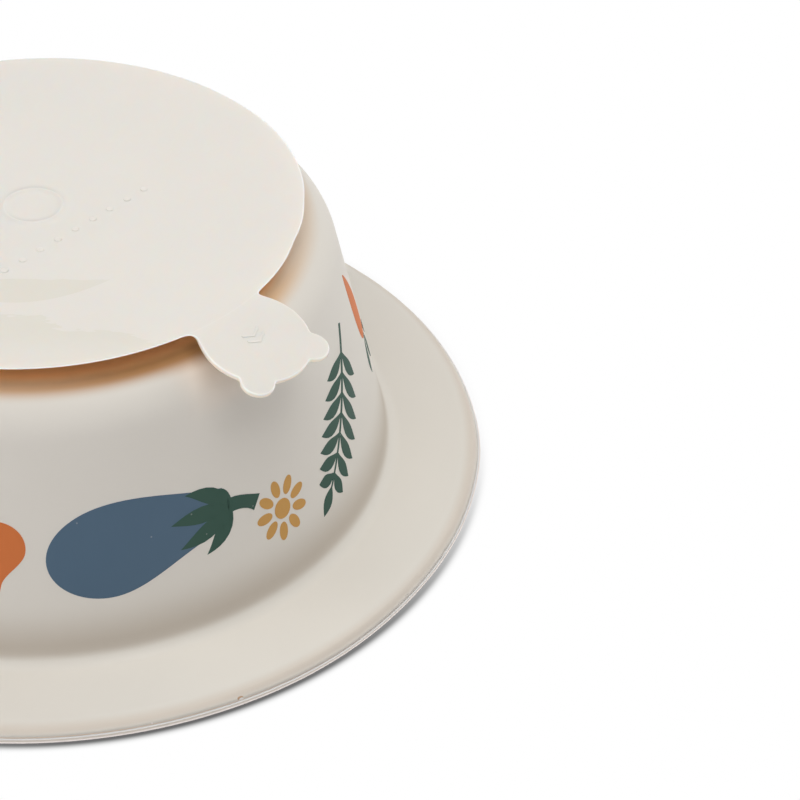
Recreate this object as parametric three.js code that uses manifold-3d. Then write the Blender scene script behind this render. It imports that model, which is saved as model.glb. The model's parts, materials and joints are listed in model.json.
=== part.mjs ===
// A baby's silicone suction bowl, lying upside down on its wide flat rim.
// Lengths are millimetres, angles are radians, +Z is up.
// The origin is the centre of the rim's resting face. The suction disc is on top.

import * as THREE from 'three';
import { mergeVertices } from 'three/addons/utils/BufferGeometryUtils.js';
import Module from 'manifold-3d';

const wasm = await Module();
wasm.setup();

const degrees = Math.PI / 180;

// Rim: a flat ring with a rounded upper edge and a thin lip under the mould's parting line
const rimRadius = 80;
const rimWidth = 16.7;
const rimThickness = 2.4;
const rimEdgeRound = 1.4;
const rimLipHeight = 1;
const rimLipProud = 0.3;
const rimLipRound = 0.25;

// Wall and floor of the bowl
const baseHeight = 51;
const wallDraft = 12.8 * degrees;
const wallThickness = 2.6;
const floorThickness = 3;
const footFillet = 2.75;
const shoulderRound = 9.4;
const mouthRound = 2.5;

// Suction neck between the base and the disc
const neckRadius = 20;
const neckHeight = 2.2;
const neckFlare = 1;

// Suction disc: a thin dished membrane with a flat sealing land round its edge,
// reaching past the flat of the base by its overhang
const discOverhang = 3.35;
const discThickness = 1;
const discDish = 0.5;
const discEdgeRound = 0.3;
const sealLandWidth = 3.5;
const neckSeatMargin = 1.5;

// Pull tab: a round plate with two smaller round lobes at its far end, bent towards the bowl.
// Its hinge line is a chord of the disc, and the reaches are measured from that line.
const tabAzimuth = -41.4 * degrees;
const tabDroop = 16.2 * degrees;
const tabThickness = 1;
const tabEdgeRound = 0.25;
const tabHingeInset = 0.3;
const tabRootHalfWidth = 8;
const tabPlateRadius = 9.85;
const tabPlateReach = 6.8;
const tabLobeRadius = 3;
const tabLobeReach = 13.9;
const tabLobeSpread = 6.65;
const tabLobeFillet = 0.8;

// Clearance between pieces that turn on each other, and how far a cutting block overruns
const runningGap = 0.3;
const cutOverrun = 5;

// Facets round a full turn, and steps in a small rounding, a large one and the dish
const turnFacets = 72;
const smallArcSteps = 4;
const largeArcSteps = 8;
const dishSteps = 6;
const hingeFacets = 16;
const edgeRoundSteps = 2;

const silicone = { color: 0xd8cfc1, roughness: 0.55, metalness: 0 };
const polishedSilicone = { color: 0xe6dfd3, roughness: 0.25, metalness: 0 };

// Points along an arc, both ends included
function arcPoints(centreX, centreY, radius, startAngle, endAngle, steps) {
  const points = [];
  for (let step = 0; step <= steps; step += 1) {
    const angle = startAngle + (endAngle - startAngle) * step / steps;
    const x = centreX + radius * Math.cos(angle);
    const y = centreY + radius * Math.sin(angle);
    points.push(new THREE.Vector2(x, y));
  }
  return points;
}

// A closed profile of (radius, height) points, listed from the top of the axis outwards and down,
// turned about the Z axis
function turned(profile) {
  const geometry = new THREE.LatheGeometry(profile.slice().reverse(), turnFacets);
  geometry.rotateX(Math.PI / 2);
  return geometry;
}

// A closed geometry as a solid that can be cut and joined
function toSolid(geometry) {
  const bare = geometry.clone();
  bare.deleteAttribute('normal');
  bare.deleteAttribute('uv');
  const merged = mergeVertices(bare);
  const index = merged.index.array;
  const triangles = [];
  for (let corner = 0; corner < index.length; corner += 3) {
    const [a, b, c] = index.slice(corner, corner + 3);
    if (a !== b && b !== c && c !== a) {
      triangles.push(a, b, c);
    }
  }
  return new wasm.Manifold(new wasm.Mesh({
    numProp: 3,
    vertProperties: merged.getAttribute('position').array,
    triVerts: new Uint32Array(triangles),
  }));
}

function toGeometry(solid) {
  const mesh = solid.getMesh();
  const geometry = new THREE.BufferGeometry();
  geometry.setAttribute('position', new THREE.BufferAttribute(mesh.vertProperties, 3));
  geometry.setIndex(new THREE.BufferAttribute(mesh.triVerts, 1));
  geometry.computeVertexNormals();
  return geometry;
}

function namedMesh(name, geometry, finish) {
  const mesh = new THREE.Mesh(geometry, new THREE.MeshStandardMaterial(finish));
  mesh.name = name;
  return mesh;
}

// The wall leans inwards as it rises, so its outer radius falls with height
function wallOuterRadius(height) {
  return rimRadius - rimWidth - (height - rimThickness) * Math.tan(wallDraft);
}

// How far inside the wall's outer line its inner line lies, measured level
const wallLevelThickness = wallThickness / Math.cos(wallDraft);

// The shoulder's arc touches the wall and the base, whose flat ends above the arc's centre
const shoulderHeight = baseHeight - shoulderRound;
const shoulderFootHeight = shoulderHeight + shoulderRound * Math.sin(wallDraft);
const baseFlatRadius = wallOuterRadius(shoulderFootHeight) - shoulderRound * Math.cos(wallDraft);

// The bowl: base and wall outside, flange, resting face, then wall and floor inside
function bowlProfile() {
  const shoulder = arcPoints(
    baseFlatRadius, shoulderHeight, shoulderRound, Math.PI / 2, wallDraft, largeArcSteps);

  const filletHeight = rimThickness + footFillet;
  const filletTopHeight = filletHeight - footFillet * Math.sin(wallDraft);
  const filletCentre = wallOuterRadius(filletTopHeight) + footFillet * Math.cos(wallDraft);
  const fillet = arcPoints(
    filletCentre, filletHeight, footFillet, Math.PI + wallDraft, 1.5 * Math.PI, smallArcSteps);

  // The edge's rounding ends at the lip, however thin the rim is
  const edgeRound = Math.min(rimEdgeRound, rimThickness - rimLipHeight);
  const edgeCentre = rimRadius - rimLipProud - edgeRound;
  const edge = arcPoints(
    edgeCentre, rimThickness - edgeRound, edgeRound, Math.PI / 2, 0, smallArcSteps);
  const lip = [
    new THREE.Vector2(rimRadius - rimLipProud, rimLipHeight),
    new THREE.Vector2(rimRadius, rimLipHeight),
    ...arcPoints(rimRadius - rimLipRound, rimLipRound, rimLipRound, 0, -Math.PI / 2, edgeRoundSteps),
  ];

  const mouthTopHeight = mouthRound + mouthRound * Math.sin(wallDraft);
  const mouthTopRadius = wallOuterRadius(mouthTopHeight) - wallLevelThickness;
  const mouthCentre = mouthTopRadius + mouthRound * Math.cos(wallDraft);
  const mouth = arcPoints(
    mouthCentre, mouthRound, mouthRound, 1.5 * Math.PI, Math.PI - wallDraft, smallArcSteps);

  const innerRound = shoulderRound - wallThickness;
  const ceiling = baseHeight - floorThickness;
  const innerHeight = ceiling - innerRound;
  const innerFootHeight = innerHeight + innerRound * Math.sin(wallDraft);
  const innerFootRadius = wallOuterRadius(innerFootHeight) - wallLevelThickness;
  const innerCentre = innerFootRadius - innerRound * Math.cos(wallDraft);
  const inner = arcPoints(
    innerCentre, innerHeight, innerRound, wallDraft, Math.PI / 2, largeArcSteps);

  return [
    new THREE.Vector2(0, baseHeight),
    ...shoulder,
    ...fillet,
    ...edge,
    ...lip,
    ...mouth,
    ...inner,
    new THREE.Vector2(0, ceiling),
  ];
}

// The neck: flat faces at both ends, and a waist with a rounded flare above and below
function neckProfile() {
  const top = baseHeight + neckHeight;
  const flareCentre = neckRadius + neckFlare;
  return [
    new THREE.Vector2(0, top),
    ...arcPoints(flareCentre, top - neckFlare, neckFlare, Math.PI / 2, Math.PI, smallArcSteps),
    ...arcPoints(flareCentre, baseHeight + neckFlare, neckFlare, Math.PI, 1.5 * Math.PI, smallArcSteps),
    new THREE.Vector2(0, baseHeight),
  ];
}

const discTop = baseHeight + neckHeight + discThickness + discDish;
const discRadius = baseFlatRadius + discOverhang;
const tabHingeRadius = discRadius - tabHingeInset;
const landRadius = discRadius - sealLandWidth;

// Height of the disc's outer face: a shallow dish inside a flat land
function discFaceHeight(radius) {
  const share = Math.min(radius / landRadius, 1);
  return discTop - discDish * (1 - share * share);
}

function discProfile() {
  const face = [];
  for (let step = 0; step <= dishSteps; step += 1) {
    const radius = landRadius * step / dishSteps;
    face.push(new THREE.Vector2(radius, discFaceHeight(radius)));
  }

  const edgeCentre = discRadius - discEdgeRound;
  const upperEdge = arcPoints(
    edgeCentre, discTop - discEdgeRound, discEdgeRound, Math.PI / 2, 0, edgeRoundSteps);
  const lowerEdge = arcPoints(
    edgeCentre, discTop - discThickness + discEdgeRound, discEdgeRound, 0, -Math.PI / 2, edgeRoundSteps);

  const seatRadius = neckRadius + neckFlare + neckSeatMargin;
  const back = [];
  for (let step = dishSteps; step >= 0; step -= 1) {
    const radius = seatRadius + (landRadius - seatRadius) * step / dishSteps;
    back.push(new THREE.Vector2(radius, discFaceHeight(radius) - discThickness));
  }

  const seatHeight = baseHeight + neckHeight;
  return [
    ...face,
    ...upperEdge,
    ...lowerEdge,
    ...back,
    new THREE.Vector2(seatRadius - neckSeatMargin, seatHeight),
    new THREE.Vector2(0, seatHeight),
  ];
}

// The disc has a shallow straight-backed notch in its edge, where the tab's root turns
function discGeometry() {
  const notchBack = tabHingeRadius - tabThickness / 2 - runningGap;
  const notchDepth = discRadius - notchBack + cutOverrun;
  const notchWidth = 2 * (tabRootHalfWidth + runningGap);
  const block = new THREE.BoxGeometry(notchDepth, notchWidth, discThickness + 2 * cutOverrun);
  block.translate(notchBack + notchDepth / 2, 0, discTop - discThickness / 2);
  block.rotateZ(tabAzimuth);
  return toGeometry(toSolid(turned(discProfile())).subtract(toSolid(block)));
}

// Centre of a small circle that touches the outside of two larger ones, on the given side
function filletCentreBetween(first, firstRadius, second, secondRadius, radius, side) {
  const between = new THREE.Vector2().subVectors(second, first);
  const distance = between.length();
  const reach = firstRadius + radius;
  const other = secondRadius + radius;
  const along = (distance * distance + reach * reach - other * other) / (2 * distance);
  const across = side * Math.sqrt(reach * reach - along * along);
  const unit = between.normalize();
  return new THREE.Vector2(
    first.x + unit.x * along - unit.y * across,
    first.y + unit.y * along + unit.x * across);
}

// Points round a centre from one point's direction to another's, clockwise or anticlockwise
function arcTowards(centre, radius, from, to, clockwise, steps) {
  const start = Math.atan2(from.y - centre.y, from.x - centre.x);
  let end = Math.atan2(to.y - centre.y, to.x - centre.x);
  if (clockwise && end > start) {
    end -= 2 * Math.PI;
  }
  if (!clockwise && end < start) {
    end += 2 * Math.PI;
  }
  return arcPoints(centre.x, centre.y, radius, start, end, steps);
}

// Half of the tab's outline, on the +Y side, from its root clockwise to the middle of its far end
function tabHalfOutline() {
  const plate = new THREE.Vector2(tabPlateReach, 0);
  const lobe = new THREE.Vector2(tabLobeReach, tabLobeSpread);
  const root = new THREE.Vector2(0, tabRootHalfWidth);
  const farEnd = new THREE.Vector2(tabPlateReach + tabPlateRadius, 0);

  // The root's flank runs straight until it touches the plate's circle
  const rootTurn = Math.acos(tabPlateRadius / plate.distanceTo(root));
  const flankEnd = root.clone().rotateAround(plate, -rootTurn);

  const outerHollow = filletCentreBetween(
    plate, tabPlateRadius, lobe, tabLobeRadius, tabLobeFillet, 1);
  const innerHollow = filletCentreBetween(
    plate, tabPlateRadius, lobe, tabLobeRadius, tabLobeFillet, -1);

  // Each arc starts where the one before it ends, so that point is left out
  const side = arcTowards(plate, tabPlateRadius, flankEnd, outerHollow, true, largeArcSteps);
  const arcs = [
    arcTowards(outerHollow, tabLobeFillet, plate, lobe, false, smallArcSteps),
    arcTowards(lobe, tabLobeRadius, outerHollow, innerHollow, true, largeArcSteps),
    arcTowards(innerHollow, tabLobeFillet, lobe, plate, false, smallArcSteps),
    arcTowards(plate, tabPlateRadius, innerHollow, farEnd, true, smallArcSteps),
  ];
  return [root, ...side, ...arcs.flatMap((arc) => arc.slice(1))];
}

// The tab lies in its own plane here: X points away from the hinge, Y along it
function tabGeometry() {
  const half = tabHalfOutline();
  const mirrored = half.slice(0, -1).reverse().map((point) => new THREE.Vector2(point.x, -point.y));
  const plate = new THREE.ExtrudeGeometry(new THREE.Shape([...half, ...mirrored]), {
    depth: tabThickness - 2 * tabEdgeRound,
    bevelThickness: tabEdgeRound,
    bevelSize: tabEdgeRound,
    bevelOffset: -tabEdgeRound,
    bevelSegments: edgeRoundSteps,
  });
  plate.translate(0, 0, tabEdgeRound - tabThickness / 2);

  // The root is rounded about the hinge line, so it turns without touching the disc
  const rootRound = new THREE.CylinderGeometry(
    tabThickness / 2, tabThickness / 2, 2 * tabRootHalfWidth - 2 * tabEdgeRound, hingeFacets);
  return toGeometry(toSolid(plate).add(toSolid(rootRound)));
}

const suctionBowl = new THREE.Group();
suctionBowl.add(namedMesh('bowl', turned(bowlProfile()), silicone));
suctionBowl.add(namedMesh('suction_neck', turned(neckProfile()), silicone));
suctionBowl.add(namedMesh('suction_disc', discGeometry(), polishedSilicone));

const tabHinge = new THREE.Group();
tabHinge.position.set(
  tabHingeRadius * Math.cos(tabAzimuth),
  tabHingeRadius * Math.sin(tabAzimuth),
  discTop - tabThickness / 2);
tabHinge.rotation.set(0, tabDroop, tabAzimuth, 'ZYX');
tabHinge.add(namedMesh('pull_tab', tabGeometry(), polishedSilicone));
suctionBowl.add(tabHinge);

export default suctionBowl;
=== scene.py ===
"""The looks of a baby's silicone suction bowl that lies upside down on its wide rim.

Lengths are metres and +Z is up. The printed pictures stand on their heads, as the bowl does."""

import json
import math

import bmesh
import bpy
from bpy.props import FloatProperty, FloatVectorProperty, IntProperty, PointerProperty
from mathutils import Matrix, Vector


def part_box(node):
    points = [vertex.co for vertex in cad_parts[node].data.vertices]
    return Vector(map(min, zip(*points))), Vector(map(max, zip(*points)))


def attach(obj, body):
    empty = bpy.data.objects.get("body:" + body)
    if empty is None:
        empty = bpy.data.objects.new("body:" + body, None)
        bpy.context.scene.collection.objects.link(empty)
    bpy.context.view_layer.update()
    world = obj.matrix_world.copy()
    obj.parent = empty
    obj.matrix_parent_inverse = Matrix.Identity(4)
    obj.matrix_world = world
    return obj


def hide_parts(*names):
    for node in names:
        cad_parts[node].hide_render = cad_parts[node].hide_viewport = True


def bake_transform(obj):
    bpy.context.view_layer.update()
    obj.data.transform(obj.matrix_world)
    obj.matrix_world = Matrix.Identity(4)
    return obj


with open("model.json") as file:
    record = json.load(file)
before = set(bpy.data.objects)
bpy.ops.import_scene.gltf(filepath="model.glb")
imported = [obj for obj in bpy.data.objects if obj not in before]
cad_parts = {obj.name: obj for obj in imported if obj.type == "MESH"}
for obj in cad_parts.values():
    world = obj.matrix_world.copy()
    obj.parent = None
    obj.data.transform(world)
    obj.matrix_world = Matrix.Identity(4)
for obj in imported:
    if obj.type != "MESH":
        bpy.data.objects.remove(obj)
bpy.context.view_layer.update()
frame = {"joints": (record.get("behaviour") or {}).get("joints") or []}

bl_info = {
    "name": "Suction bowl",
    "version": (1, 0, 0),
    "blender": (4, 5, 0),
    "location": "3D View > Sidebar > Suction bowl",
    "description": "Builds a silicone suction bowl, its prints and a small studio",
    "category": "Object",
}

MM = 0.001
FULL_TURN = 2 * math.pi
MERGE_GAP = 0.001 * MM
SILICONE_IOR = 1.41


# Places that the frame gives

def joint_named(name):
    return next(joint for joint in frame["joints"] if joint["name"] == name)


rim_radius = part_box("bowl")[1].x
base_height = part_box("bowl")[1].z
neck_low, neck_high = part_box("suction_neck")
disc_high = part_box("suction_disc")[1]
disc_radius = disc_high.x
disc_top = disc_high.z
hinge = Vector(joint_named("tab_lift")["pos_m"])
hinge_radius = math.hypot(hinge.x, hinge.y)
tab_azimuth = math.atan2(hinge.y, hinge.x)


def display(red, green, blue):
    """A colour as the eye reads it on a screen, 0 to 255, made linear."""
    def linear(level):
        part = level / 255
        return part / 12.92 if part <= 0.04045 else ((part + 0.055) / 1.055) ** 2.4
    return (linear(red), linear(green), linear(blue))


def length(name, description, millimetres):
    return FloatProperty(name=name, description=description, default=millimetres * MM,
                         min=0, precision=5, unit="LENGTH")


def angle(name, description, degrees):
    return FloatProperty(name=name, description=description, default=math.radians(degrees),
                         unit="ROTATION")


def count(name, description, number):
    return IntProperty(name=name, description=description, default=number, min=1)


def share(name, description, value):
    return FloatProperty(name=name, description=description, default=value,
                         min=0, max=1, subtype="FACTOR")


def number(name, description, value, unit="NONE"):
    return FloatProperty(name=name, description=description, default=value, unit=unit)


def colour(name, description, *levels):
    return FloatVectorProperty(name=name, description=description, default=display(*levels),
                               min=0, max=1, subtype="COLOR")


class BowlSizes(bpy.types.PropertyGroup):
    """Sizes of the bowl's wall, rim and base"""
    rim_width: length("Rim width", "From the wall's foot to the rim's edge", 16.7)
    rim_thickness: length("Rim thickness", "Height of the rim's upper face", 2.4)
    rim_slope_width: length("Rim slope", "Width of the soft slope before the rim's edge", 2.8)
    rim_slope_drop: length("Rim slope's drop", "How far that slope falls", 0.6)
    rim_round: length("Rim rounding", "Radius of the rim's upper edge", 2)
    lip_height: length("Lip height", "Top of the lip at the mould's parting line", 0.6)
    lip_proud: length("Lip", "How far the lip stands out", 0.3)
    lip_round: length("Lip rounding", "Radius under the lip", 0.25)
    wall_draft: angle("Wall draft", "Lean of the wall", 12.8)
    wall_thickness: length("Wall thickness", "Square to the wall", 2.6)
    floor_thickness: length("Floor thickness", "Thickness of the bowl's floor", 3)
    foot_round: length("Foot fillet", "Radius between the wall and the rim", 2.75)
    shoulder_round: length("Shoulder rounding", "Radius between the wall and the base", 9.4)
    mouth_round: length("Mouth rounding", "Radius of the mouth's edge", 2.5)
    turn_steps: count("Steps", "Faces round a full turn", 192)


class DiscSizes(bpy.types.PropertyGroup):
    """Sizes of the suction disc and its pull tab"""
    thickness: length("Thickness", "Thickness of the disc and the tab", 1)
    edge_round: length("Edge rounding", "Radius of the edges", 0.3)
    thin_width: length("Thin border", "Width over which the disc thins out to its edge", 5)
    thin_share: share("Edge thickness", "Thickness left at the disc's edge, as a share", 0.2)
    dish: length("Dish", "How far the middle lies below the sealing land", 0.5)
    land_width: length("Land width", "Flat land round the edge", 3.5)
    lift: length("Lifted edge", "How far the disc's edge has sprung up on one side", 0.75)
    ripple: length("Ripple", "Height of the faint waves that moulding leaves", 0.03)
    ring_radius: length("Ring radius", "Radius of the raised ring in the middle", 5.2)
    ring_width: length("Ring width", "Width of the raised ring", 0.45)
    relief_height: length("Relief height", "How far the raised marks stand out", 0.12)
    tab_droop: angle("Tab droop", "How far the tab is bent towards the bowl", 16.2)
    root_half_width: length("Root half width", "From the tab's middle to its left notch", 8)
    plate_radius: length("Plate radius", "Radius of the tab's round plate", 9.85)
    plate_reach: length("Plate reach", "From the hinge line to the plate's centre", 6.8)
    lobe_radius: length("Lobe radius", "Radius of each small lobe", 3)
    lobe_reach: length("Lobe reach", "From the hinge line to the lobes' centres", 13.9)
    lobe_spread: length("Lobe spread", "From the tab's middle to a lobe's centre", 6.65)
    hollow_round: length("Hollow rounding", "Radius between a lobe and the plate", 0.8)
    root_steps: count("Root steps", "Faces across the left half of the tab's root", 12)
    right_root_steps: count("Right root steps", "Faces across the root's right half", 11)


class Silicone(bpy.types.PropertyGroup):
    """Colours and finish of the silicone, among them the colours of its painted shade, glow and highlights
    """
    matt: colour("Matt", "Colour of the bowl", 221, 216, 206)
    polished: colour("Polished", "Colour of the disc and the tab", 233, 229, 221)
    # Painted shade and painted glow for the base under the disc's edge, standing in for the disc's shadow
    # and the light it lets through
    glow: colour("Inner glow", "Base deep under the disc, lit through the silicone", 255, 191, 131)
    shade: colour("Warm shade", "Base near the disc's edge in front", 196, 157, 120)
    painted_deep_shade: colour("Deep shade", "Base near the disc's edge beside the tab", 175, 128, 80)
    painted_light_shade: colour("Light shade", "Base near the disc's lifted edge", 214, 178, 138)
    # Painted glow on the shoulder under the tab, standing in for light let through the tab
    painted_tab_glow: colour("Tab glow", "Shoulder under the tab, lit through the silicone", 240, 223, 206)
    # Painted shade at the wall's foot
    foot: colour("Foot tint", "Multiplies the colour at the wall's foot", 222, 215, 208)
    # Painted shade along the rim's rounded edge
    edge: colour("Edge tint", "Multiplies the colour at the rim's edge", 245, 239, 234)
    # Painted shade in the crease above the lip
    crease: colour("Crease", "Colour in the crease above the lip", 233, 213, 191)
    lip_face: colour("Lip tint", "Multiplies the colour of the lip", 246, 241, 239)
    # Painted highlights along the lip's upper and lower edges
    lip: colour("Lip line", "Colour of the pale line along the lip's upper edge", 219, 219, 217)
    bead: colour("Bead line", "Colour of the pale line along the lip's lower edge", 239, 230, 224)
    # Painted shadow inside the nick; its painted highlight uses the bright edge colour
    nick: colour("Nick", "Colour inside the nick above the lip", 186, 150, 116)
    # Painted highlight along the disc's and the tab's rounded edges, and painted light on the side below
    # them
    rounding: colour("Bright edge", "Colour of the disc's rounded edge", 246, 243, 237)
    side: colour("Edge side", "Colour of the side below the rounded edge", 255, 240, 224)
    # Painted darker reflection in patches of the disc's shine
    dull: colour("Dull tint", "Multiplies the disc's colour in its dull patches", 250, 250, 246)
    mark: colour("Marks", "Colour of the raised marks", 233, 228, 219)
    mark_roughness: share("Mark roughness", "Roughness of the raised marks", 0.35)
    matt_roughness: share("Matt roughness", "Roughness of the bowl", 0.55)
    polished_roughness: share("Polished roughness", "Roughness of the disc", 0.16)
    depth: length("Light depth", "How far light runs inside the silicone", 0.5)


class Inks(bpy.types.PropertyGroup):
    """Colours of the printed pictures"""
    blue: colour("Slate blue", "Aubergines", 74, 98, 118)
    green: colour("Deep green", "Ferns, leaves and stalks", 42, 74, 62)
    mustard: colour("Mustard", "Flowers", 196, 148, 78)
    rust: colour("Rust", "Carrots and pears", 204, 112, 54)
    thickness: length("Ink thickness", "How far the ink stands on the wall", 0.04)
    roughness: share("Ink roughness", "Roughness of the ink", 0.6)


class Studio(bpy.types.PropertyGroup):
    """Camera and light"""
    elevation: angle("Elevation", "Height of the camera above the horizon", 37.965)
    roll: angle("Roll", "Tilt of the camera", 0.736)
    distance: length("Distance", "From the camera to the bowl's origin along its view", 619.84)
    lens: number("Lens", "Focal length in millimetres", 149.353)
    horizon: number("Horizon", "Strength of the light from low down", 0.235)
    zenith: number("Zenith", "Strength of the light from high up", 0.057)
    left: number("Left", "Strength of the light from low on the left", 0.726)
    overhead: number("Overhead", "Power of the lamp overhead, in watts", 5.84, "POWER")
    behind: number("Behind", "Power of the lamp behind on the right", 3.56, "POWER")
    front: number("Front", "Power of the lamp in front on the left", 2.04, "POWER")


# Mesh tools

def wire(corners):
    """A mesh that holds one open line through the points."""
    bm = bmesh.new()
    points = [bm.verts.new(corner) for corner in corners]
    for first, second in zip(points, points[1:]):
        bm.edges.new((first, second))
    return bm, points


def round_corner(bm, point, radius, segments):
    """Rounds the corner that two edges of a line make."""
    before, after = (edge.other_vert(point).co - point.co for edge in point.link_edges)
    turn = math.pi - before.angle(after)
    bmesh.ops.bevel(bm, geom=[point], offset=radius * math.tan(turn / 2), offset_type="OFFSET",
                    segments=segments, profile=0.5, affect="VERTICES", material=-1)


def round_edges(bm, edges, radius, segments):
    bmesh.ops.bevel(bm, geom=edges, offset=radius, offset_type="OFFSET", segments=segments,
                    profile=0.5, affect="EDGES", material=-1)


def cut_rows(bm, places, snap):
    """Cuts a flat mesh along lines of equal x."""
    for place in places:
        bmesh.ops.bisect_plane(bm, geom=bm.verts[:] + bm.edges[:] + bm.faces[:],
                               plane_co=(place, 0, 0), plane_no=(1, 0, 0), dist=snap)


def face_up(bm):
    for face in bm.faces:
        if face.normal.z < 0:
            face.normal_flip()


def take_in(bm, other):
    """Moves one mesh into another."""
    carried = bpy.data.meshes.new("carried")
    other.to_mesh(carried)
    other.free()
    bm.from_mesh(carried)
    bpy.data.meshes.remove(carried)


def split_long_edges(bm, longest):
    for edge in bm.edges[:]:
        cuts = int(edge.calc_length() / longest)
        if cuts:
            bmesh.ops.subdivide_edges(bm, edges=[edge], cuts=cuts)


def spin_round(bm, steps):
    """Turns a line about the Z axis into a closed surface."""
    bmesh.ops.spin(bm, geom=bm.verts[:] + bm.edges[:], cent=(0, 0, 0), axis=(0, 0, 1),
                   dvec=(0, 0, 0), angle=FULL_TURN, steps=steps, use_merge=True)
    bmesh.ops.remove_doubles(bm, verts=bm.verts[:], dist=MERGE_GAP)


def spun_solid(profile, longest, steps):
    """A closed solid of revolution from (radius, height, rounding, segments) corners."""
    bm, points = wire([(radius, 0, height) for radius, height, *_ in profile])
    for point, (_, _, rounding, segments) in zip(points, profile):
        if rounding:
            round_corner(bm, point, rounding, segments)
    split_long_edges(bm, longest)
    spin_round(bm, steps)
    bmesh.ops.recalc_face_normals(bm, faces=bm.faces[:])
    return bm


def to_object(bm, name, material, smooth=True):
    """The finished mesh as an object at the origin."""
    for face in bm.faces:
        face.smooth = smooth
    mesh = bpy.data.meshes.new(name)
    bm.to_mesh(mesh)
    bm.free()
    mesh.materials.append(material)
    made = bpy.data.objects.new(name, mesh)
    bpy.context.scene.collection.objects.link(made)
    return made


def arc(centre, radius, start, end, steps):
    """Points along an arc, both ends included."""
    turns = [start + (end - start) * step / steps for step in range(steps + 1)]
    return [Vector((centre[0] + radius * math.cos(turn), centre[1] + radius * math.sin(turn)))
            for turn in turns]


def smoothstep(value, low, high):
    part = min(max((value - low) / (high - low), 0), 1)
    return part * part * (3 - 2 * part)


# Where the rim's and the disc's edge stray from their circles: each wave's azimuth and spread in
# degrees, and how far it reaches outwards in millimetres
RIM_WAVES = [(-32, 13, -0.34), (1, 8, 0.3), (46, 8, -0.28)]
DISC_WAVES = [(26, 13, 0.33), (1, 5, -0.15), (-13.5, 4, -0.22)]


def stray(waves, azimuth):
    """How far an edge strays outwards at an azimuth in degrees."""
    return sum(reach * math.exp(-((azimuth - middle) / spread) ** 2)
               for middle, spread, reach in waves) * MM


# Shader tools

class Tree:
    """A node tree with short ways to add a node and link it."""

    def __init__(self, tree):
        self.tree = tree

    def add(self, kind, **inputs):
        node = self.tree.nodes.new(kind)
        for name, value in inputs.items():
            self.put(node, name.replace("_", " "), value)
        return node

    def fill(self, socket, value):
        """Links a socket to another, or sets its value."""
        if isinstance(value, bpy.types.NodeSocket):
            self.tree.links.new(value, socket)
        elif socket.type == "RGBA" and len(value) == 3:
            socket.default_value = (*value, 1)
        else:
            socket.default_value = value

    def put(self, node, name, value):
        self.fill(node.inputs[name], value)

    def math(self, operation, first, second=0.0):
        node = self.tree.nodes.new("ShaderNodeMath")
        node.operation = operation
        for socket, value in zip(node.inputs, (first, second)):
            self.fill(socket, value)
        return node.outputs[0]

    def mix(self, factor, first, second, blend="MIX"):
        """Two colours mixed."""
        node = self.tree.nodes.new("ShaderNodeMix")
        node.data_type = "RGBA"
        node.blend_type = blend
        for index, value in ((0, factor), (6, first), (7, second)):
            self.fill(node.inputs[index], value)
        return node.outputs[2]

    def times(self, first, *others):
        """The product of values."""
        for other in others:
            first = self.math("MULTIPLY", first, other)
        return first

    def remap(self, value, from_low, from_high, to_low, to_high):
        """A value moved from one range to another, smoothly and clamped."""
        node = self.tree.nodes.new("ShaderNodeMapRange")
        node.interpolation_type = "SMOOTHSTEP"
        for socket, given in zip(node.inputs, (value, from_low, from_high, to_low, to_high)):
            self.fill(socket, given)
        return node.outputs[0]

    def rise(self, value, low, high):
        """A mask that grows from 0 to 1 between two values."""
        return self.remap(value, low, high, 0.0, 1.0)

    def fall(self, value, low, high):
        """A mask that fades from 1 to 0 between two values."""
        return self.remap(value, low, high, 1.0, 0.0)

    def use(self, made, **inputs):
        """The outputs of a node that holds a group."""
        node = self.tree.nodes.new("ShaderNodeGroup")
        node.node_tree = made
        for name, value in inputs.items():
            self.put(node, name.replace("_", " "), value)
        return node.outputs

    def attribute(self, name):
        node = self.add("ShaderNodeAttribute")
        node.attribute_name = name
        return node.outputs["Fac"]

    def choose(self, factor, first, second, out):
        """Sends a mix of two shaders to the output."""
        mixed = self.add("ShaderNodeMixShader")
        for socket, value in zip(mixed.inputs, (factor, first, second)):
            self.fill(socket, value)
        self.fill(out.inputs[0], mixed.outputs[0])


def group(name, inputs, outputs, build):
    """The node group of a name, built once. Its sockets are all floats."""
    if name in bpy.data.node_groups:
        return bpy.data.node_groups[name]
    made = bpy.data.node_groups.new(name, "ShaderNodeTree")
    for label, default in inputs.items():
        socket = made.interface.new_socket(label, in_out="INPUT", socket_type="NodeSocketFloat")
        socket.default_value = default
    for label in outputs:
        made.interface.new_socket(label, in_out="OUTPUT", socket_type="NodeSocketFloat")
    given = made.nodes.new("NodeGroupInput").outputs
    out = made.nodes.new("NodeGroupOutput").inputs
    for label, value in zip(outputs, build(Tree(made), given)):
        made.links.new(value, out[label])
    return made


def grain_group():
    """Fine moulded grain: a height for bump and a tone that hardly changes the colour."""
    def build(tree, given):
        place = tree.add("ShaderNodeTexCoord").outputs["Object"]
        return [tree.add("ShaderNodeTexNoise", Vector=place, Scale=scale, Detail=detail).outputs[0]
                for scale, detail in ((given[0], 3.0), (given[1], 4.0))]
    return group("Moulded grain", {"Grains per metre": 5200.0, "Mottle per metre": 60.0},
                 ("Height", "Tone"), build)


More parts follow.
